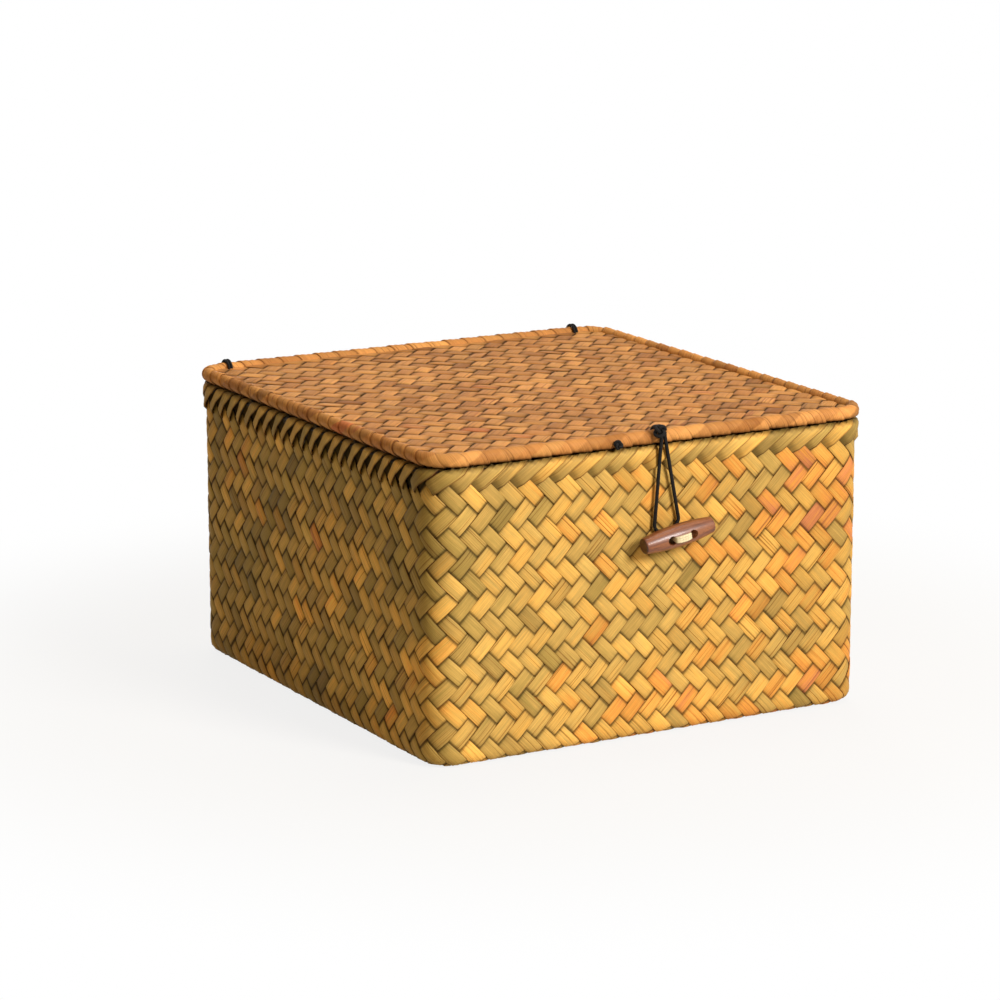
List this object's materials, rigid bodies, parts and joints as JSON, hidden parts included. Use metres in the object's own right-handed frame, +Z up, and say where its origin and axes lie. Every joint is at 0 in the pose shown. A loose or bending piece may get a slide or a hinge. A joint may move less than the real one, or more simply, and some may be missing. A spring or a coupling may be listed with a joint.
{
  "type": "woven lidded box",
  "caption": "Square box plaited from flat rush strips, with a flat hinged lid whose edge is bound over wire, closed by a cord loop behind a wooden toggle.",
  "frame": {"origin": "centre of the base's underside, on the surface that the box stands on", "axes": "+X to the right along the front, +Y to the hinged back, +Z up"},
  "size_m": [0.2534, 0.2867, 0.1582],
  "materials": {
    "rush": "satin",
    "lid_rush": "satin",
    "steel_wire": "satin",
    "black_cord": "matte",
    "toggle_wood": "gloss",
    "thread": "matte"
  },
  "bodies": {
    "basket": {"woven_basket": "rush", "rim_wire": "steel_wire", "rim_fold": "rush", "hinge_tie_left": "black_cord", "hinge_tie_right": "black_cord", "toggle_back_knot": "thread"},
    "lid": {"lid_mat": "lid_rush", "lid_frame_wire": "steel_wire", "lid_edge_binding": "lid_rush", "loop_knot": "black_cord", "loop_tail_knot": "black_cord"},
    "loop": {"closure_loop": "black_cord"},
    "toggle": {"toggle_bar": "toggle_wood", "toggle_thread": "thread"}
  },
  "joints": [
    {"name": "lid_hinge", "type": "hinge", "parent": "basket", "child": "lid", "pos_m": [0, 0.1301, 0.1519], "axis": [-1, 0, 0], "range_deg": [0, 110]},
    {"name": "loop_swing", "type": "hinge", "parent": "lid", "child": "loop", "pos_m": [0, -0.1301, 0.1519], "axis": [-1, 0, 0], "range_deg": [-44, 0]},
    {"name": "toggle_swivel", "type": "hinge", "parent": "basket", "child": "toggle", "pos_m": [0.0062, -0.1407, 0.1036], "axis": [0, -1, 0], "range_deg": [-90, 90]}
  ],
  "couplings": [
    {"joint": "loop_swing", "follows": "lid_hinge", "ratio": -0.4}
  ]
}
